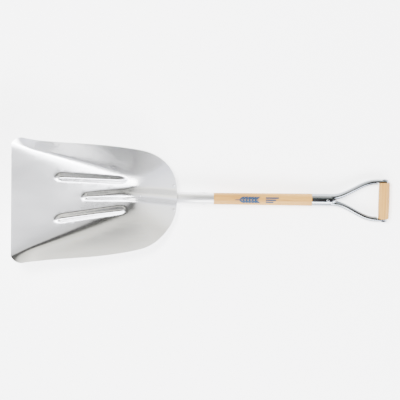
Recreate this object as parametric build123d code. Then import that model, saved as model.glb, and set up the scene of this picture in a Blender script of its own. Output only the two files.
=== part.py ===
from build123d import *
import math
import os

# Grain scoop shovel: a pressed aluminium pan riveted to a bent ash handle with a steel D grip.
#
# Sizes are millimetres. The shovel is drawn in the blade's own axes: U runs back from the mouth
# edge along the floor, Y is across, W is up from the floor. settle() then tips it about Y until
# it lies on its heel and its grip, and puts the origin at the bottom centre of its box, with
# +X towards the grip and +Z up.

# ---- driving dimensions ------------------------------------------------------------------------
REST_TILT = 24.01             # degrees the floor is tipped, mouth up, when the shovel lies down

SHEET = 1.6                  # thickness of the pan's sheet
FLOOR_HALF_MOUTH = 175.0     # half width of the floor at the mouth edge
FLOOR_TAPER = 0.2855         # what that half width loses per millimetre of U
HEEL_U = 426.0               # where the floor turns up into the rear wall
HEEL_ROUND = 50.0            # softness of the corner between side walls and rear wall
WALL_SLOPE = 1.27            # rise over run of the walls
MOUTH_SLOPE = 0.5            # the same at the mouth, where the walls lie open
MOUTH_RUN = 80.0             # length over which the walls stand up from one to the other
CREASE_SOFT = (7.0, 28.0)    # softness of the bend from floor to wall, at the mouth and at the heel

RIB_HEIGHT = 9.5             # height of the ribs pressed up into the pan
RIB_HALF_WIDTH = 16.0
RIB_NOSE = 30.0              # length of a rib's blunt end
OUTER_RIB_U = (134.0, 378.0)
OUTER_RIB_Y = (66.5, 45.5)   # offset of an outer rib's axis at its front and at its rear

RIDGE_START = 222.0          # front tip of the leaf-shaped middle ridge
FROG_U = (350.0, 446.0)      # where it starts to swell over the handle's foot, and where it is full
FROG_HALF_WIDTH = 30.0
FROG_HEIGHT = 18.0           # how far it then stands off the wall, square to it
PLATE_SHEET = 2.0            # backing plate behind the ridge
PLATE_NEST_U = (432.0, 503.0)
PLATE_HALF_WIDTH = 33.0
PLATE_BULGE = 25.0
SEAT_GAP = 0.15              # air left between faces that are riveted together

FOOT_ANGLE = 48.5            # slope of the rear wall, which the handle's foot follows
HANDLE_LIFT = 21.0           # degrees from the floor to the straight part of the handle
BEND_U = 522.3               # where the axes of the foot and of the straight part cross
BEND_W = 123.2
BEND_RADIUS = 150.0
FOOT_LENGTH = 80.0           # from there down the wall to the handle's cut end
FOOT_RADIUS = 16.9           # handle inside the socket
SOCKET_RADIUS = 18.4
SOCKET_TUCK = 50.0           # how far the socket reaches down behind the rim
SOCKET_END = 89.0            # from here on, distances along the straight part from the bend
SOCKET_RIVET_AT = 60.0
FERRULE_START = 393.5
FORK_RIVET_AT = 442.5
SHAFT_END = 450.0
FERRULE_END = 456.0
GRIP_AXIS = 619.0
SHAFT_RADII = (18.3, 19.3)   # handle just above the socket, and where the ferrule starts

FERRULE_RADIUS = 19.0
STEEL = 1.5
CROTCH_DEPTH = 17.0          # length of the rounded nose between the tines
CROTCH_FLAT = 4.0
CROTCH_FULLNESS = 0.72       # how square the nose is: 0.707 is a quarter ellipse
TINE_SPREAD = (458.0, 592.0)
TINE_ROOT_Y = 9.6            # tine axis where it leaves the ferrule
TINE_HALF_SPAN = 66.5        # outer edge of the tines
TINE_HALF_SIZES = ((9.3, 15.8), (8.4, 10.0))   # half width and half height, at root and at eye
EYE_RADIUS = 11.5            # rounding of each tine's end about the rod
EYE_FACES = (57.0, 65.0)     # inner and outer flat of each tine's eye
GRIP_RADII = (17.8, 16.8)    # grip at its middle and at its ends
ROD_RADIUS = 4.0
WASHER = (9.0, 1.3)          # radius and thickness

RIM_RIVET = (494.0, 38.0)    # place of the ear rivets in U and Y
TAIL_RIVET = (408.0, 0.0)
RIVET_SHANK = 2.4
RIVET_HEAD = (5.0, 1.9)      # radius and height of a domed head
TAIL_HEAD = (3.4, 1.5)
TAIL_SEAT = 2.0              # extra room for the tail rivet's lower head in the hollow ridge
HOLE_SLACK = 0.05

BLADE_TO_LYING = Rot(0, REST_TILT, 0)
BEND = Pos(BEND_U, 0, BEND_W)
HANDLE = BEND * Rot(0, -HANDLE_LIFT, 0)        # its local X runs up the handle
LATERAL = Rot(-90, 0, 0)                       # turns Z to +Y


# ---- the pressed sheets, as heights over the floor ------------------------------------------------
def ease(x, start, end):
    """0 before start, 1 after end, and a smooth S between them."""
    t = min(max((x - start) / (end - start), 0.0), 1.0)
    return t * t * (3.0 - 2.0 * t)


def bell(y, half_width):
    """1 at y = 0, falling smoothly to 0 at half_width."""
    if abs(y) >= half_width:
        return 0.0
    return 0.5 + 0.5 * math.cos(math.pi * y / half_width)


def basin(u, y):
    """The plain pan: a floor that narrows backwards, with walls that rise round it."""
    side = (math.hypot(y, 10.0) - FLOOR_HALF_MOUTH + FLOOR_TAPER * u) / math.hypot(1.0, FLOOR_TAPER)
    back = u - HEEL_U
    outside = 0.5 * (side + back + math.hypot(side - back, HEEL_ROUND))
    slope = MOUTH_SLOPE + (WALL_SLOPE - MOUTH_SLOPE) * ease(u, 0.0, MOUTH_RUN)
    soft = CREASE_SOFT[0] + (CREASE_SOFT[1] - CREASE_SOFT[0]) * ease(u, 0.0, HEEL_U)
    return slope * 0.5 * (outside + math.hypot(outside, soft))


def nose(u, start):
    """The rounded growth of a rib from its tip, 0 to 1."""
    return ease(u, start, start + RIB_NOSE)


def ribs(u, y):
    """The two outer ribs: blunt fingers of even width that close in towards the heel."""
    front, rear = OUTER_RIB_U
    axis = OUTER_RIB_Y[0] + (OUTER_RIB_Y[1] - OUTER_RIB_Y[0]) * (u - front) / (rear - front)
    swell = nose(u, front) * (1.0 - ease(u, rear - RIB_NOSE, rear))
    half_width = RIB_HALF_WIDTH * (0.7 + 0.3 * swell)
    return RIB_HEIGHT * swell * bell(abs(y) - axis, half_width)


def upright(height):
    """A height square to the rear wall, measured straight up instead."""
    return height / math.cos(math.radians(FOOT_ANGLE))


def frog(u, y):
    """The middle ridge: a rib at its tip that widens like a leaf, then swells over the handle's foot."""
    widen = min(max((u - RIDGE_START) / (FROG_U[1] - RIDGE_START), 0.0), 1.0)
    half_width = RIB_HALF_WIDTH * 0.8 + (FROG_HALF_WIDTH - RIB_HALF_WIDTH * 0.8) * widen
    height = RIB_HEIGHT + (upright(FROG_HEIGHT) - RIB_HEIGHT) * ease(u, *FROG_U)
    return height * nose(u, RIDGE_START) * bell(y, half_width)


def pan_height(u, y):
    return basin(u, y) + ribs(u, y) + frog(u, y)


def plate_height(u, y):
    """The backing plate nests in the ridge at its tail, and bulges round the handle above that."""
    out = ease(u, *PLATE_NEST_U)
    nested = ribs(u, y) + frog(u, y)
    bulge = upright(PLATE_BULGE) * bell(y, PLATE_HALF_WIDTH)
    return basin(u, y) + (1.0 - out) * nested - out * bulge


def slope_at(height, u, y):
    e = 0.5
    along = (height(u + e, y) - height(u - e, y)) / (2.0 * e)
    across = (height(u, y + e) - height(u, y - e)) / (2.0 * e)
    return along, across


def section(height, u, half_y, steps, depths):
    """The sheet's cut across U: an upper and a lower curve, each at its depth under the height."""
    share = [j / steps for j in range(steps + 1)]
    curves = []
    for depth in depths:
        points = []
        for s in share:
            y = half_y * (2.0 * s - 1.0)
            stretch = math.hypot(1.0, *slope_at(height, u, y))
            points.append(Vector(u, y, height(u, y) - depth * stretch))
        curves.append(points)
    top, low = curves
    low.reverse()
    upper = Edge.make_spline(top, parameters=share)
    lower = Edge.make_spline(low, parameters=share)
    return Wire([upper, Edge.make_line(top[-1], low[0]), lower, Edge.make_line(low[-1], top[0])])


def sheet(height, depths, reach, half_y, steps):
    """A pressed sheet between two depths under a height field, as one loft along U."""
    u_steps, y_steps = steps
    start, end = reach
    stations = [start + (end - start) * i / u_steps for i in range(u_steps + 1)]
    return Solid.make_loft([section(height, u, half_y, y_steps, depths) for u in stations])


def plan_prism(edges):
    """A prism on an outline drawn in plan over the lying shovel, with X = 0 at the mouth edge."""
    return BLADE_TO_LYING.inverse() * extrude(make_face(edges), amount=900.0, both=True)


def mirrored(points):
    return [(x, -y) for x, y in reversed(points)]


def on_sheet(height, u, y):
    """A place on a pressed sheet, with Z square to it."""
    along, across = slope_at(height, u, y)
    return Plane(origin=(u, y, height(u, y)), x_dir=(1.0, 0.0, along), z_dir=(-along, -across, 1.0)).location


def dome(radius, rise):
    """A flat-bottomed piece of a sphere, standing on Z = 0."""
    ball = (radius * radius + rise * rise) / (2.0 * rise)
    return Pos(0, 0, rise - ball) * Sphere(ball) & Pos(0, 0, rise) * Box(4.0 * ball, 4.0 * ball, 2.0 * rise)


def rivet(grip, shank, head):
    """Domed heads on both ends of a shank; its upper seat is at Z = 0, its lower one at -grip."""
    stem = Pos(0, 0, -grip / 2.0) * Cylinder(shank, grip + 0.2 * head[1])
    return stem + dome(*head) + Pos(0, 0, -grip) * Rot(180, 0, 0) * dome(*head)


# ---- scoop ---------------------------------------------------------------------------------------
def scoop_pan():
    corner = (44.0, 191.5)
    side = [corner, (215.0, 176.5), (371.0, 158.5), (421.0, 145.0), (467.0, 111.0), (493.5, 69.0), (504.0, 0.0)]
    lip = [(0.0, 174.0), (11.0, 187.0), corner]
    rim = Edge.make_spline(side + mirrored(side)[1:])
    pieces = 24
    rim_edges = [rim.trim(i / pieces, (i + 1) / pieces) for i in range(pieces)]
    lips = [Edge.make_three_point_arc(*lip), Edge.make_three_point_arc(*mirrored(lip))]
    mouth = Edge.make_line((0.0, -174.0), (0.0, 174.0))
    pan = sheet(pan_height, (0.0, SHEET), (-10.0, 540.0), 212.0, (60, 96)) & plan_prism([*rim_edges, *lips, mouth])
    for place in rivet_places():
        pan -= place * Cylinder(RIVET_SHANK + HOLE_SLACK, 20.0)
    return pan


def rivet_places():
    u, y = RIM_RIVET
    return [on_sheet(pan_height, u, y), on_sheet(pan_height, u, -y), on_sheet(pan_height, *TAIL_RIVET)]


def back_plate():
    """A shield behind the rear wall: ears at the rim, and a tail that is riveted in the ridge."""
    ear = 48.0
    half = [(380.0, 0.0), (382.0, 9.0), (405.0, 13.0), (440.0, 34.0), (462.0, ear), (499.0, ear)]
    outline = make_face(Polyline(*half, *mirrored(half)[:-1], close=True))
    outline = fillet(outline.vertices().group_by(Axis.X)[-1], 8.0)
    prism = BLADE_TO_LYING.inverse() * extrude(outline, amount=900.0, both=True)
    depths = (SHEET + SEAT_GAP, SHEET + SEAT_GAP + PLATE_SHEET)
    plate = sheet(plate_height, depths, (380.0, 540.0), 64.0, (40, 48)) & prism
    for place in rivet_places():
        plate -= place * Cylinder(RIVET_SHANK + HOLE_SLACK, 20.0)
    return plate


def plate_rivet(place, head, extra):
    seats = (SEAT_GAP, SHEET + PLATE_SHEET + 2.0 * SEAT_GAP + extra)
    return place * Pos(0, 0, seats[0]) * rivet(sum(seats), RIVET_SHANK, head)


# ---- handle --------------------------------------------------------------------------------------
def bent_rod(radius, tuck, end):
    """A round bar along the handle's axis, from tuck below the bend to end above it."""
    foot = Vector(-math.cos(math.radians(FOOT_ANGLE)), 0, -math.sin(math.radians(FOOT_ANGLE)))
    lift = Vector(math.cos(math.radians(HANDLE_LIFT)), 0, math.sin(math.radians(HANDLE_LIFT)))
    centre = Vector(BEND_U, 0, BEND_W)
    corners = [centre + foot * tuck, centre, centre + lift * end]
    path = FilletPolyline(*corners, radius=BEND_RADIUS)
    start = Plane(origin=corners[0], z_dir=-foot)
    return sweep(start * Circle(radius), path=path)


def along_handle(start, end, start_radius, end_radius):
    """A straight or tapered bar on the handle's axis."""
    length = end - start
    bar = Cone(start_radius, end_radius, length) if start_radius != end_radius else Cylinder(start_radius, length)
    return HANDLE * Pos((start + end) / 2.0, 0, 0) * Rot(0, 90, 0) * bar


def wood_handle():
    """Bent ash, its foot shaved to the hollow between the ridge and the backing plate."""
    inside = FERRULE_RADIUS - STEEL - HOLE_SLACK
    wood = bent_rod(FOOT_RADIUS, FOOT_LENGTH, SOCKET_END + 1.0)
    reach = (430.0, 540.0)
    wood -= sheet(pan_height, (-60.0, SHEET + 2.0 * SEAT_GAP), reach, 40.0, (22, 32))
    wood -= sheet(plate_height, (SHEET, 60.0), reach, 40.0, (22, 32))
    wood += along_handle(SOCKET_END + HOLE_SLACK, FERRULE_START - HOLE_SLACK, *SHAFT_RADII)
    wood += along_handle(FERRULE_START - 1.0, SHAFT_END, inside, inside)
    wood -= HANDLE * Pos(SOCKET_RIVET_AT, 0, 0) * LATERAL * Cylinder(RIVET_SHANK + HOLE_SLACK, 60.0)
    return wood - HANDLE * Pos(FORK_RIVET_AT, 0, 0) * Cylinder(RIVET_SHANK + HOLE_SLACK, 60.0)


def handle_socket():
    tube = bent_rod(SOCKET_RADIUS, SOCKET_TUCK, SOCKET_END) - bent_rod(FOOT_RADIUS + HOLE_SLACK, 90.0, 120.0)
    return tube - HANDLE * Pos(SOCKET_RIVET_AT, 0, 0) * LATERAL * Cylinder(RIVET_SHANK + HOLE_SLACK, 60.0)


def cross_rivet(at, turn, radius):
    """A rivet right through the handle, its head seats just off a tube of that radius."""
    seat = radius + 0.05
    return HANDLE * Pos(at, 0, 0) * turn * Pos(0, 0, seat) * rivet(2.0 * seat, RIVET_SHANK, RIVET_HEAD)


# ---- D grip --------------------------------------------------------------------------------------
def tine_axis(x):
    root = TINE_ROOT_Y
    half_width = TINE_HALF_SIZES[1][0]
    return root + (TINE_HALF_SPAN - half_width - root) * ease(x, *TINE_SPREAD)


def tine(side, start, end, inset):
    """One tine as a loft of ellipses along its S curve; inset thins it on all sides."""
    stations = 9
    sections = []
    for i in range(stations):
        x = start + (end - start) * i / (stations - 1)
        heading = (tine_axis(x + 0.5) - tine_axis(x - 0.5)) * side
        shrink = ease(x, TINE_SPREAD[0], TINE_SPREAD[0] + 60.0)
        root, eye = TINE_HALF_SIZES
        half_width = root[0] + (eye[0] - root[0]) * shrink - inset
        half_height = root[1] + (eye[1] - root[1]) * shrink - inset
        place = Plane(origin=(x, side * tine_axis(x), 0), x_dir=(-heading, 1, 0), z_dir=(1, heading, 0))
        sections.append(place * Ellipse(half_width, half_height))
    return loft(sections)


def d_fork():
    """Ferrule, rounded crotch and two hollow tines with flat eyes, pressed and welded as one."""
    tip = GRIP_AXIS + EYE_RADIUS + 2.0
    end = FERRULE_END + CROTCH_DEPTH
    shoulder = (FERRULE_END + CROTCH_FULLNESS * CROTCH_DEPTH, CROTCH_FULLNESS * FERRULE_RADIUS)
    crotch = ThreePointArc((FERRULE_END, FERRULE_RADIUS), shoulder, (end, CROTCH_FLAT))
    back = Polyline((end, CROTCH_FLAT), (end, 0), (FERRULE_START, 0), (FERRULE_START, FERRULE_RADIUS))
    barrel = Line((FERRULE_START, FERRULE_RADIUS), (FERRULE_END, FERRULE_RADIUS))
    fork = revolve(make_face([*crotch.edges(), *back.edges(), *barrel.edges()]), axis=Axis.X)
    for side in (-1, 1):
        fork += tine(side, FERRULE_END - 3.0, tip, 0.0)
    bore = SHAFT_END + HOLE_SLACK - FERRULE_START
    fork -= Pos(FERRULE_START + bore / 2.0, 0, 0) * Rot(0, 90, 0) * Cylinder(FERRULE_RADIUS - STEEL, bore)
    for side in (-1, 1):
        fork -= tine(side, FERRULE_END + 4.0, GRIP_AXIS - 16.0, STEEL)
    inner, outer = EYE_FACES
    keep = Pos(GRIP_AXIS - 500.0, 0, 0) * Box(1000.0, 200.0, 60.0)
    keep += Pos(GRIP_AXIS, 0, 0) * LATERAL * Cylinder(EYE_RADIUS, 200.0)
    fork = fork & keep
    flat_start = GRIP_AXIS - GRIP_RADII[0] - 3.0
    fork -= Pos(flat_start + 50.0, 0, 0) * Box(100.0, 2.0 * inner, 60.0)
    for side in (-1, 1):
        fork -= Pos(GRIP_AXIS - 12.0 + 50.0, side * (outer + 10.0), 0) * Box(100.0, 20.0, 60.0)
    fork -= Pos(GRIP_AXIS, 0, 0) * LATERAL * Cylinder(ROD_RADIUS + HOLE_SLACK, 200.0)
    fork -= Pos(FORK_RIVET_AT, 0, 0) * Cylinder(RIVET_SHANK + HOLE_SLACK, 60.0)
    return HANDLE * fork


def grip():
    """A barrel of ash, bored for the rod."""
    half = EYE_FACES[0]
    middle, end = GRIP_RADII
    bore = ROD_RADIUS + HOLE_SLACK
    swell = ThreePointArc((half, end), (0, middle), (-half, end))
    rest = Polyline((-half, end), (-half, bore), (half, bore), (half, end))
    turned = revolve(make_face([*swell.edges(), *rest.edges()]), axis=Axis.X)
    rims = [e for e in turned.edges().filter_by(GeomType.CIRCLE) if e.radius > end - 0.01]
    return HANDLE * Pos(GRIP_AXIS, 0, 0) * Rot(0, 0, 90) * fillet(rims, 2.0)


def grip_rod():
    seat = EYE_FACES[1] + WASHER[1]
    return HANDLE * Pos(GRIP_AXIS, 0, 0) * LATERAL * Pos(0, 0, seat) * rivet(2.0 * seat, ROD_RADIUS, (7.0, 2.1))


def rod_washer(side):
    radius, thick = WASHER
    ring = Cylinder(radius, thick) - Cylinder(ROD_RADIUS + HOLE_SLACK, thick)
    return HANDLE * Pos(GRIP_AXIS, side * (EYE_FACES[1] + thick / 2.0), 0) * LATERAL * ring


# ---- assembly ------------------------------------------------------------------------------------
left_ear, right_ear, tail = rivet_places()
nodes = {
    "scoop_pan": scoop_pan(),
    "back_plate": back_plate(),
    "ear_rivet_left": plate_rivet(left_ear, RIVET_HEAD, 0.0),
    "ear_rivet_right": plate_rivet(right_ear, RIVET_HEAD, 0.0),
    "tail_rivet": plate_rivet(tail, TAIL_HEAD, TAIL_SEAT),
    "wood_handle": wood_handle(),
    "handle_socket": handle_socket(),
    "socket_rivet": cross_rivet(SOCKET_RIVET_AT, LATERAL, SOCKET_RADIUS),
    "d_fork": d_fork(),
    "fork_rivet": cross_rivet(FORK_RIVET_AT, Rot(0, 0, 0), FERRULE_RADIUS),
    "grip": grip(),
    "grip_rod": grip_rod(),
    "rod_washer_left": rod_washer(1),
    "rod_washer_right": rod_washer(-1),
}


def settle(shapes):
    """Tips every piece into the lying pose and puts the origin at the bottom centre of the box."""
    lying = {name: BLADE_TO_LYING * shape for name, shape in shapes.items()}
    boxes = [shape.bounding_box() for shape in lying.values()]
    low_x = min(box.min.X for box in boxes)
    high_x = max(box.max.X for box in boxes)
    low_z = min(box.min.Z for box in boxes)
    shift = Pos(-(low_x + high_x) / 2.0, 0, -low_z)
    return {name: shift * shape for name, shape in lying.items()}


os.makedirs("parts", exist_ok=True)
for name, shape in settle(nodes).items():
    export_step(shape, f"parts/{name}.step")
    box = shape.bounding_box()
    print(name, "solids", len(shape.solids()), "volume", round(shape.volume), "lowest", round(box.min.Z, 2))
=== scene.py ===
import math

import bmesh
import bpy
from mathutils import Matrix, Vector


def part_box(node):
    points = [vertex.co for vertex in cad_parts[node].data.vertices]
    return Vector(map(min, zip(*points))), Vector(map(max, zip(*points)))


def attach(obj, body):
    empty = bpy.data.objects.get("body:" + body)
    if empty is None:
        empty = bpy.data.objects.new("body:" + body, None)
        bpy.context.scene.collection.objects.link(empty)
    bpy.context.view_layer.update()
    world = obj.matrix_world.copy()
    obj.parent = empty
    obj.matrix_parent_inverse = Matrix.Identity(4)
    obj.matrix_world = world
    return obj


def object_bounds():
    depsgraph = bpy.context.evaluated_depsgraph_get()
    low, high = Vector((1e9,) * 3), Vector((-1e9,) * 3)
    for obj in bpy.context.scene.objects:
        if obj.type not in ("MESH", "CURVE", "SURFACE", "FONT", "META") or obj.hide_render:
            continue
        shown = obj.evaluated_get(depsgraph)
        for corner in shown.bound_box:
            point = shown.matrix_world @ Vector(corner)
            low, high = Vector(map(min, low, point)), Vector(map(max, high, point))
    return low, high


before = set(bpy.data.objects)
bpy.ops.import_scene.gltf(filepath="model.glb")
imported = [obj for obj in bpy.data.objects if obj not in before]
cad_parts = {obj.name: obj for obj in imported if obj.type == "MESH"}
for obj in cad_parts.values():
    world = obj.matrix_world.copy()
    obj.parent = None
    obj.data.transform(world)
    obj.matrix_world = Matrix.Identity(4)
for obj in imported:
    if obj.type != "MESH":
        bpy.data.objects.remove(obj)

CAD_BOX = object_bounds()

bl_info = {
    "name": "Grain Scoop Shovel",
    "version": (1, 0, 0),
    "blender": (4, 5, 0),
    "location": "View3D > Sidebar > Scoop",
    "description": "Dresses a grain scoop shovel in brushed aluminium, lacquered ash and bright steel",
    "category": "Object",
}

BODY = "root"
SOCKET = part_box("handle_socket")

# The printed mark. SHARE, FIRST and STEP are parts of its length. WIDTH, OFFSET, PITCH, LIFT and
# HEIGHT are metres.
MARK_LIFT = 0.00006             # how far the ink stands off the wood
MARK_STEPS = (10, 6)            # faces along and across one stroke
STEM_SHARE, STEM_WIDTH = 0.55, 0.0024
GRAIN_SHARE, GRAIN_WIDTH = 0.15, 0.0062
GRAIN_PAIRS = 6
GRAIN_FIRST, GRAIN_STEP = 0.16, 0.07
GRAIN_OFFSET = 0.0058           # from the stem to a grain's middle
GRAIN_TURN = math.radians(28.0)
GRAIN_TIP = 0.04                # part of its width left at a grain's points
BARS_SHARE, BAR_WIDTH, BAR_PITCH = 0.30, 0.0046, 0.0066
BAR_LENGTHS = (1.0, 0.8, 0.6)   # parts of the longest bar
RAY_HEIGHT = 1.0                # the mark is dropped on the wood from here

# The studio. A lean is the angle from overhead towards +Y, in radians; an X is a part of the
# direction looked in. Four numbers say where a patch starts, is full, starts to fade and ends,
# and two say where a gradual change starts and ends.
SOFT_BOX_LEAN, SOFT_BOX_X = (-1.15, -0.95, -0.50, -0.30), (0.24, 0.46, 1.5, 2.0)
CLOTH_LEAN, CLOTH_X = (0.20, 0.34, 0.80, 1.05), (0.05, 0.25, 1.5, 2.0)
OVERHEAD_LEAN, OVERHEAD_X = (-0.95, -0.72, 0.60, 0.80), (-0.06, 0.06, 0.30, 0.44)
MOUTH_FADE = (-0.8, 0.0)
GRIP_FADE = (0.45, 0.80)
HORIZON_FADE = (1.15, 1.5)
TINT_FADE = (-1.2, 1.0)
COOL, WARM = (0.87, 0.89, 1.0), (1.0, 0.985, 0.90)
FLOOR_HALF = 9.0                # metres
LAMPS = (                       # name, place, width, power in watts, mirrored in the metal or not
    ("key", (-0.9, 1.2, 3.6), 0.8, 300.0, False),
    ("side", (0.4, -2.6, 2.4), 1.6, 150.0, True),
)
AIM_SHIFT = (-0.007, 0.002)     # of the view's middle from the box's middle in X, and from Y 0
AIM_HEIGHT = 0.09
SENSOR_WIDTH = 36.0             # millimetres
CLIP_END = 50.0


# ---- settings ------------------------------------------------------------------------------------
class ScoopMetalSettings(bpy.types.PropertyGroup):
    pan_colour: bpy.props.FloatVectorProperty(
        name="Pan colour", description="Colour of the pan's aluminium",
        subtype="COLOR", size=3, min=0.0, max=1.0, default=(0.80, 0.80, 0.80))
    pan_roughness: bpy.props.FloatProperty(
        name="Pan roughness", description="How satin the aluminium is",
        subtype="FACTOR", min=0.05, max=1.0, default=0.22)
    steel_colour: bpy.props.FloatVectorProperty(
        name="Steel colour", description="Colour of the plated steel fork",
        subtype="COLOR", size=3, min=0.0, max=1.0, default=(0.28, 0.30, 0.325))
    steel_roughness: bpy.props.FloatProperty(
        name="Steel roughness", description="How blurred reflections are in the plating",
        subtype="FACTOR", min=0.02, max=1.0, default=0.10)


class ScoopWoodSettings(bpy.types.PropertyGroup):
    pale: bpy.props.FloatVectorProperty(
        name="Early wood", description="Pale colour between the ash's rings",
        subtype="COLOR", size=3, min=0.0, max=1.0, default=(0.50, 0.275, 0.064))
    dark: bpy.props.FloatVectorProperty(
        name="Late wood", description="Darker colour of the ash's rings",
        subtype="COLOR", size=3, min=0.0, max=1.0, default=(0.32, 0.150, 0.028))
    mark_colour: bpy.props.FloatVectorProperty(
        name="Mark colour", description="Ink of the printed mark on the handle",
        subtype="COLOR", size=3, min=0.0, max=1.0, default=(0.004, 0.035, 0.085))
    mark_start: bpy.props.FloatProperty(
        name="Mark start", description="From the socket's end to the printed mark",
        subtype="DISTANCE", unit="LENGTH", min=0.0, max=0.15, default=0.066)
    mark_length: bpy.props.FloatProperty(
        name="Mark length", description="Length of the printed mark along the handle",
        subtype="DISTANCE", unit="LENGTH", min=0.02, max=0.3, default=0.135)


class ScoopStageSettings(bpy.types.PropertyGroup):
    tip: bpy.props.FloatProperty(
        name="View tip", description="How far the view leans from straight down, towards +Y",
        subtype="ANGLE", unit="ROTATION", default=math.radians(9.5))
    roll: bpy.props.FloatProperty(
        name="View roll", description="Turn of the picture about its centre",
        subtype="ANGLE", unit="ROTATION", default=math.radians(1.2))
    distance: bpy.props.FloatProperty(
        name="Camera distance", description="From the middle of the shovel to the camera",
        subtype="DISTANCE", unit="LENGTH", min=0.5, max=20.0, default=6.5)
    view_width: bpy.props.FloatProperty(
        name="View width", description="Width of the picture at the shovel",
        subtype="DISTANCE", unit="LENGTH", min=0.2, max=10.0, default=1.228)
    light: bpy.props.FloatProperty(
        name="Even light", description="Strength of the even light all round",
        min=0.0, max=20.0, default=1.6)
    soft_box: bpy.props.FloatProperty(
        name="Soft box", description="Extra strength of the soft box high on the -Y side",
        min=0.0, max=50.0, default=13.0)
    mouth_side: bpy.props.FloatProperty(
        name="Mouth side", description="How much stronger the light is from beyond the mouth",
        min=0.0, max=5.0, default=2.1)
    grip_side: bpy.props.FloatProperty(
        name="Grip side", description="How much of the even light is left beyond the grip",
        min=0.0, max=5.0, default=0.66)
    horizon: bpy.props.FloatProperty(
        name="Horizon", description="How much stronger the light is low on both sides",
        min=0.0, max=5.0, default=1.6)
    shade: bpy.props.FloatProperty(
        name="Dark cloth", description="How much light the dark cloth takes away",
        subtype="FACTOR", min=0.0, max=1.0, default=0.93)
    floor_glow: bpy.props.FloatProperty(
        name="Floor glow", description="Light that the floor gives off, like a light table",
        min=0.0, max=10.0, default=2.2)
    floor_colour: bpy.props.FloatVectorProperty(
        name="Floor colour", description="Colour of the plain floor",
        subtype="COLOR", size=3, min=0.0, max=1.0, default=(0.95, 0.95, 0.95))


# ---- material helpers ----------------------------------------------------------------------------
class Nodes:
    """Builds a shader tree, a node at a time."""

    def __init__(self, tree):
        self.tree = tree

    def link(self, source, target):
        if isinstance(source, (int, float)):
            target.default_value = source
        elif not isinstance(source, bpy.types.NodeSocket):
            target.default_value = (*source[:3], 1.0) if len(target.default_value) == 4 else source
        else:
            self.tree.links.new(source, target)

    def noise(self, vector, scale, detail=3.0, rough=0.5, distortion=0.0):
        node = self.tree.nodes.new("ShaderNodeTexNoise")
        node.inputs["Scale"].default_value = scale
        node.inputs["Detail"].default_value = detail
        node.inputs["Roughness"].default_value = rough
        node.inputs["Distortion"].default_value = distortion
        self.link(vector, node.inputs["Vector"])
        return node.outputs["Fac"]

    def ramp(self, value, low, high, to_low=0.0, to_high=1.0):
        node = self.tree.nodes.new("ShaderNodeMapRange")
        node.inputs["From Min"].default_value = low
        node.inputs["From Max"].default_value = high
        node.inputs["To Min"].default_value = to_low
        node.inputs["To Max"].default_value = to_high
        self.link(value, node.inputs["Value"])
        return node.outputs["Result"]

    def window(self, value, start, full, fade, end):
        """0 outside start to end, 1 between full and fade, and smooth in between."""
        sides = []
        for low, high, before, after in ((start, full, 0.0, 1.0), (fade, end, 1.0, 0.0)):
            node = self.tree.nodes.new("ShaderNodeMapRange")
            node.interpolation_type = "SMOOTHSTEP"
            node.inputs["From Min"].default_value = low
            node.inputs["From Max"].default_value = high
            node.inputs["To Min"].default_value = before
            node.inputs["To Max"].default_value = after
            self.link(value, node.inputs["Value"])
            sides.append(node.outputs["Result"])
        return self.maths("MULTIPLY", *sides)

    def maths(self, operation, first, second=0.0):
        node = self.tree.nodes.new("ShaderNodeMath")
        node.operation = operation
        self.link(first, node.inputs[0])
        self.link(second, node.inputs[1])
        return node.outputs[0]

    def mix(self, factor, first, second):
        node = self.tree.nodes.new("ShaderNodeMix")
        node.data_type = "RGBA"
        self.link(factor, node.inputs[0])
        self.link(first, node.inputs[6])
        self.link(second, node.inputs[7])
        return node.outputs[2]

    def split(self, vector):
        node = self.tree.nodes.new("ShaderNodeSeparateXYZ")
        self.link(vector, node.inputs[0])
        return node.outputs

    def bump(self, height, strength, distance, under=None):
        node = self.tree.nodes.new("ShaderNodeBump")
        node.inputs["Strength"].default_value = strength
        node.inputs["Distance"].default_value = distance
        self.link(height, node.inputs["Height"])
        if under is not None:
            self.link(under, node.inputs["Normal"])
        return node.outputs["Normal"]


class Shader(Nodes):
    """One node material on Object coordinates."""

    def __init__(self, name):
        self.material = bpy.data.materials.new(name)
        self.material.use_nodes = True
        super().__init__(self.material.node_tree)
        self.tree.nodes.clear()
        self.surface = self.tree.nodes.new("ShaderNodeBsdfPrincipled")
        out = self.tree.nodes.new("ShaderNodeOutputMaterial")
        self.tree.links.new(self.surface.outputs["BSDF"], out.inputs["Surface"])
        self.coords = self.tree.nodes.new("ShaderNodeTexCoord").outputs["Object"]

    def mapped(self, scale, turn=(0.0, 0.0, 0.0)):
        node = self.tree.nodes.new("ShaderNodeMapping")
        node.inputs["Scale"].default_value = scale
        node.inputs["Rotation"].default_value = turn
        self.link(self.coords, node.inputs["Vector"])
        return node.outputs["Vector"]

    def set(self, **sockets):
        names = {
            "colour": "Base Color", "roughness": "Roughness", "metallic": "Metallic",
            "normal": "Normal", "coat": "Coat Weight", "coat_roughness": "Coat Roughness",
            "level": "Specular IOR Level", "glow": "Emission Color",
            "glow_strength": "Emission Strength",
        }
        for key, value in sockets.items():
            self.link(value, self.surface.inputs[names[key]])
        return self.material


def paint(material, *names):
    """Gives CAD nodes a material through their object slots, which leaves their meshes alone."""
    for name in names:
        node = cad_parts[name]
        for slot in node.material_slots:
            slot.material = material


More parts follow.
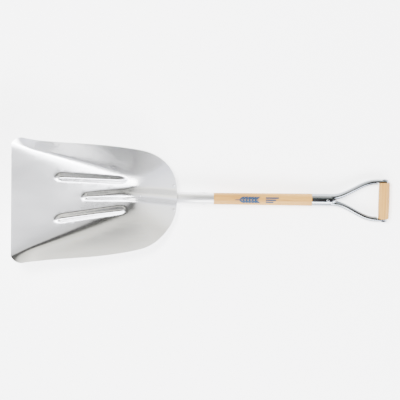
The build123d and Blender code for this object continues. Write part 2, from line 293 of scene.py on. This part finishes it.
# ---- materials -----------------------------------------------------------------------------------
def aluminium(metal, name, dulling):
    """Mill-finished sheet: fine lengthwise rolling lines, faint smears and a few scuffs."""
    s = Shader(name)
    lines = s.noise(s.mapped((3.0, 260.0, 260.0)), 1.0, 4.0, 0.6)
    fine = s.noise(s.mapped((9.0, 900.0, 900.0)), 1.0, 2.0, 0.5)
    smears = s.noise(s.mapped((2.2, 4.5, 4.5)), 1.0, 3.0, 0.55, 0.6)
    scuffed = s.noise(s.mapped((34.0, 150.0, 90.0), (0.0, 0.0, 0.5)), 1.0, 5.0, 0.65, 1.2)
    scuffs = s.ramp(scuffed, 0.68, 0.80)
    base = metal.pan_colour
    streaked = s.mix(s.ramp(lines, 0.35, 0.65), [c * 0.94 for c in base], base)
    colour = s.mix(s.maths("MULTIPLY", scuffs, 0.35), streaked, [c * 0.80 for c in base])
    rough = s.maths("ADD", s.ramp(smears, 0.3, 0.7, -0.05, 0.07), metal.pan_roughness + dulling)
    rough = s.maths("ADD", rough, s.ramp(fine, 0.3, 0.7, -0.03, 0.04))
    waves = s.noise(s.mapped((5.0, 7.0, 7.0)), 1.0, 1.0, 0.4)
    normal = s.bump(waves, 0.25, 0.004)
    normal = s.bump(s.maths("ADD", lines, fine), 0.10, 0.0003, normal)
    return s.set(colour=colour, roughness=rough, metallic=1.0, normal=normal)


def rivet_metal():
    """Set rivets: brighter, with small hammer marks."""
    s = Shader("rivet_aluminium")
    marks = s.noise(s.mapped((260.0, 260.0, 260.0)), 1.0, 2.0, 0.5)
    grime = s.ramp(s.noise(s.mapped((90.0, 90.0, 90.0)), 1.0, 3.0), 0.45, 0.7)
    colour = s.mix(grime, (0.78, 0.78, 0.79), (0.55, 0.55, 0.57))
    return s.set(colour=colour, roughness=s.ramp(marks, 0.3, 0.7, 0.22, 0.42), metallic=1.0,
                 normal=s.bump(marks, 0.35, 0.0006))


def plated_steel(metal):
    """Bright plating over pressed steel: slight ripples, fine haze and a little dulling."""
    s = Shader("bright_steel")
    ripple = s.noise(s.mapped((26.0, 40.0, 40.0)), 1.0, 2.0, 0.5)
    haze = s.noise(s.mapped((14.0, 30.0, 30.0)), 1.0, 4.0, 0.6, 0.4)
    specks = s.ramp(s.noise(s.mapped((420.0, 420.0, 420.0)), 1.0, 2.0), 0.66, 0.74)
    base = metal.steel_colour
    colour = s.mix(s.maths("MULTIPLY", specks, 0.5), base, [c * 0.6 for c in base])
    rough = s.maths("ADD", s.ramp(haze, 0.35, 0.7, -0.04, 0.12), metal.steel_roughness)
    return s.set(colour=colour, roughness=rough, metallic=1.0, normal=s.bump(ripple, 0.12, 0.002))


def ash(name, wood, along):
    """Straight-grained ash under satin lacquer. Its rings are stretched along one axis."""
    s = Shader(name)
    stretch = (1.4, 60.0, 60.0) if along == "X" else (60.0, 1.6, 60.0)
    rings = s.noise(s.mapped(stretch), 1.0, 3.0, 0.55, 0.35)
    tight = tuple(v * 4.0 for v in stretch)
    pores = s.ramp(s.noise(s.mapped(tight), 1.0, 3.0, 0.6), 0.56, 0.72)
    patches = s.noise(s.mapped((6.0, 9.0, 9.0)), 1.0, 2.0)
    colour = s.mix(s.ramp(rings, 0.40, 0.66), wood.pale, wood.dark)
    patched = s.maths("MULTIPLY", s.ramp(patches, 0.35, 0.7), 0.25)
    colour = s.mix(patched, colour, [c * 1.12 for c in wood.pale])
    colour = s.mix(s.maths("MULTIPLY", pores, 0.40), colour, [c * 0.62 for c in wood.dark])
    normal = s.bump(pores, 0.18, 0.0004)
    return s.set(colour=colour, roughness=s.ramp(pores, 0.0, 1.0, 0.36, 0.55), normal=normal,
                 coat=0.06, coat_roughness=0.3, level=0.2)


def ink(wood):
    """Printed ink, worn thin in specks."""
    s = Shader("printed_ink")
    worn = s.ramp(s.noise(s.mapped((700.0, 700.0, 700.0)), 1.0, 2.0), 0.62, 0.70)
    colour = s.mix(s.maths("MULTIPLY", worn, 0.5), wood.mark_colour, wood.pale)
    return s.set(colour=colour, roughness=s.ramp(worn, 0.0, 1.0, 0.42, 0.6), level=0.15)


# ---- printed mark --------------------------------------------------------------------------------
def stroke(centre, length, width, angle, pointed):
    """Grid of plan points of one printed stroke: a bar, or a grain with pointed ends."""
    rows = []
    for i in range(MARK_STEPS[0] + 1):
        along = i / MARK_STEPS[0]
        half = 0.5 * width * (max(math.sin(math.pi * along), GRAIN_TIP) if pointed else 1.0)
        row = []
        for j in range(MARK_STEPS[1] + 1):
            across = half * (2.0 * j / MARK_STEPS[1] - 1.0)
            spot = Matrix.Rotation(angle, 2) @ Vector(((along - 0.5) * length, across))
            row.append(Vector((centre[0] + spot.x, centre[1] + spot.y)))
        rows.append(row)
    return rows


def mark_strokes(start, length):
    """An ear of grain on its stem, then three stacked bars."""
    ear = STEM_SHARE * length
    grain = GRAIN_SHARE * length
    strokes = [stroke((start + 0.5 * ear, 0.0), ear, STEM_WIDTH, 0.0, False)]
    for i in range(GRAIN_PAIRS):
        x = start + GRAIN_FIRST * length + i * GRAIN_STEP * length
        for side in (-1, 1):
            strokes.append(stroke((x, side * GRAIN_OFFSET), grain, GRAIN_WIDTH, side * GRAIN_TURN, True))
    bars = BARS_SHARE * length
    for i, share in enumerate(BAR_LENGTHS):
        centre = (start + length - bars + 0.5 * share * bars, BAR_PITCH * (1 - i))
        strokes.append(stroke(centre, share * bars, BAR_WIDTH, 0.0, False))
    return strokes


def laid_on(wood, bm, rows):
    """Drops a grid of plan points on the wood from above and skins it."""
    skin = []
    for row in rows:
        verts = []
        for point in row:
            above = Vector((point.x, point.y, RAY_HEIGHT))
            hit, place, normal, _ = wood.ray_cast(above, Vector((0.0, 0.0, -1.0)))
            if not hit:
                raise ValueError("the mark runs off the wood")
            verts.append(bm.verts.new(place + normal * MARK_LIFT))
        skin.append(verts)
    for near, far in zip(skin, skin[1:]):
        for j in range(len(near) - 1):
            bm.faces.new((near[j], far[j], far[j + 1], near[j + 1]))


# ---- operators -----------------------------------------------------------------------------------
class SCOOP_OT_metalwork(bpy.types.Operator):
    """Finish the pan, its backing plate, the socket and the rivets"""
    bl_idname = "scoop.metalwork"
    bl_label = "Finish Metalwork"

    def execute(self, context):
        metal = context.scene.scoop_metal
        paint(aluminium(metal, "satin_aluminium", 0.0), "scoop_pan")
        paint(aluminium(metal, "dull_aluminium", 0.2), "back_plate", "handle_socket")
        paint(rivet_metal(), "ear_rivet_left", "ear_rivet_right", "tail_rivet", "socket_rivet")
        return {"FINISHED"}


class SCOOP_OT_handle(bpy.types.Operator):
    """Finish the ash handle and the grip"""
    bl_idname = "scoop.handle"
    bl_label = "Finish Wood"

    def execute(self, context):
        wood = context.scene.scoop_wood
        paint(ash("ash_handle", wood, "X"), "wood_handle")
        paint(ash("ash_grip", wood, "Y"), "grip")
        return {"FINISHED"}


class SCOOP_OT_mark(bpy.types.Operator):
    """Print the ear of grain and the bars on the handle"""
    bl_idname = "scoop.mark"
    bl_label = "Print Mark"

    def execute(self, context):
        wood = context.scene.scoop_wood
        start = SOCKET[1][0] + wood.mark_start
        bm = bmesh.new()
        for rows in mark_strokes(start, wood.mark_length):
            laid_on(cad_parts["wood_handle"], bm, rows)
        bmesh.ops.recalc_face_normals(bm, faces=bm.faces)
        if bm.faces[:][0].normal.z < 0.0:
            bmesh.ops.reverse_faces(bm, faces=bm.faces)
        bmesh.ops.solidify(bm, geom=bm.faces[:], thickness=2.0 * MARK_LIFT)
        mesh = bpy.data.meshes.new("printed_mark")
        bm.to_mesh(mesh)
        bm.free()
        piece = bpy.data.objects.new("printed_mark", mesh)
        context.scene.collection.objects.link(piece)
        mesh.materials.append(ink(wood))
        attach(piece, BODY)
        return {"FINISHED"}


class SCOOP_OT_fork(bpy.types.Operator):
    """Finish the steel fork, its rivet and the grip's rod"""
    bl_idname = "scoop.fork"
    bl_label = "Finish Fork"

    def execute(self, context):
        paint(plated_steel(context.scene.scoop_metal), "d_fork", "fork_rivet", "grip_rod",
              "rod_washer_left", "rod_washer_right")
        return {"FINISHED"}


class SCOOP_OT_stage(bpy.types.Operator):
    """Set the floor, the lights and the camera"""
    bl_idname = "scoop.stage"
    bl_label = "Set Stage"

    def execute(self, context):
        stage = context.scene.scoop_stage
        self.lay_floor(context, stage)
        self.set_world(context, stage)
        self.hang_lights(context)
        self.place_camera(context, stage)
        return {"FINISHED"}

    def lay_floor(self, context, stage):
        mesh = bpy.data.meshes.new("floor")
        bm = bmesh.new()
        bmesh.ops.create_grid(bm, x_segments=1, y_segments=1, size=FLOOR_HALF)
        bm.to_mesh(mesh)
        bm.free()
        floor = bpy.data.objects.new("floor", mesh)
        context.scene.collection.objects.link(floor)
        s = Shader("floor_paper")
        s.set(colour=tuple(stage.floor_colour), roughness=0.9, level=0.1,
              glow=(1.0, 1.0, 1.0), glow_strength=stage.floor_glow)
        mesh.materials.append(s.material)

    def set_world(self, context, stage):
        """Even light, with a soft box high on the -Y side and dark cloth overhead and towards +Y."""
        world = bpy.data.worlds.new("studio")
        world.use_nodes = True
        sky = Nodes(world.node_tree)
        x, y, z = sky.split(sky.tree.nodes.new("ShaderNodeTexCoord").outputs["Generated"])
        lean = sky.maths("ARCTAN2", y, z)
        soft_box, cloth, overhead = (
            sky.maths("MULTIPLY", sky.window(lean, *lean_edges), sky.window(x, *x_edges))
            for lean_edges, x_edges in (
                (SOFT_BOX_LEAN, SOFT_BOX_X), (CLOTH_LEAN, CLOTH_X), (OVERHEAD_LEAN, OVERHEAD_X)))
        shade = sky.maths("MULTIPLY", sky.maths("MAXIMUM", cloth, overhead), stage.shade)
        even = sky.maths("MULTIPLY", sky.maths("SUBTRACT", 1.0, shade), stage.light)
        even = sky.maths("MULTIPLY", even, sky.ramp(x, *MOUTH_FADE, stage.mouth_side, 1.0))
        even = sky.maths("MULTIPLY", even, sky.ramp(x, *GRIP_FADE, 1.0, stage.grip_side))
        low_down = sky.ramp(sky.maths("ABSOLUTE", lean), *HORIZON_FADE, 1.0, stage.horizon)
        even = sky.maths("MULTIPLY", even, low_down)
        strength = sky.maths("ADD", even, sky.maths("MULTIPLY", soft_box, stage.soft_box))
        background = sky.tree.nodes["Background"]
        tint = sky.mix(sky.ramp(lean, *TINT_FADE), COOL, WARM)
        sky.link(tint, background.inputs["Color"])
        sky.link(strength, background.inputs["Strength"])
        context.scene.world = world

    def hang_lights(self, context):
        """The key throws the soft shadow and isn't mirrored in the metal. The side light is."""
        for name, place, size, power, mirrored in LAMPS:
            light = bpy.data.lights.new(name, "AREA")
            light.shape = "SQUARE"
            light.size = size
            light.energy = power
            lamp = bpy.data.objects.new(name, light)
            lamp.location = place
            lamp.rotation_euler = (-Vector(place)).to_track_quat("-Z", "Y").to_euler()
            lamp.visible_glossy = mirrored
            context.scene.collection.objects.link(lamp)

    def place_camera(self, context, stage):
        low, high = CAD_BOX
        middle = Vector(((low[0] + high[0]) / 2.0 + AIM_SHIFT[0], AIM_SHIFT[1], AIM_HEIGHT))
        turn = Matrix.Rotation(-stage.tip, 4, "X")
        data = bpy.data.cameras.new("camera")
        data.sensor_width = SENSOR_WIDTH
        data.lens = data.sensor_width * stage.distance / stage.view_width
        data.clip_end = CLIP_END
        camera = bpy.data.objects.new("camera", data)
        place = Matrix.Translation(middle + turn @ Vector((0.0, 0.0, stage.distance)))
        camera.matrix_world = place @ turn @ Matrix.Rotation(stage.roll, 4, "Z")
        context.scene.collection.objects.link(camera)
        context.scene.camera = camera


class SCOOP_PT_panel(bpy.types.Panel):
    """The scoop's tools and settings"""
    bl_idname = "SCOOP_PT_panel"
    bl_label = "Grain Scoop"
    bl_space_type = "VIEW_3D"
    bl_region_type = "UI"
    bl_category = "Scoop"

    def draw(self, context):
        for group in (context.scene.scoop_metal, context.scene.scoop_wood, context.scene.scoop_stage):
            for name in group.bl_rna.properties.keys()[1:]:
                self.layout.prop(group, name)
        for operator in OPERATORS:
            self.layout.operator(operator.bl_idname)


GROUPS = {
    "scoop_metal": ScoopMetalSettings,
    "scoop_wood": ScoopWoodSettings,
    "scoop_stage": ScoopStageSettings,
}
OPERATORS = (SCOOP_OT_metalwork, SCOOP_OT_handle, SCOOP_OT_mark, SCOOP_OT_fork, SCOOP_OT_stage)
CLASSES = (*GROUPS.values(), *OPERATORS, SCOOP_PT_panel)


def register():
    for cls in CLASSES:
        bpy.utils.register_class(cls)
    for name, group in GROUPS.items():
        setattr(bpy.types.Scene, name, bpy.props.PointerProperty(type=group))


def unregister():
    for name in GROUPS:
        delattr(bpy.types.Scene, name)
    for cls in reversed(CLASSES):
        bpy.utils.unregister_class(cls)


def main():
    register()
    bpy.ops.scoop.metalwork()
    bpy.ops.scoop.handle()
    bpy.ops.scoop.mark()
    bpy.ops.scoop.fork()
    bpy.ops.scoop.stage()


if __name__ == "__main__":
    main()
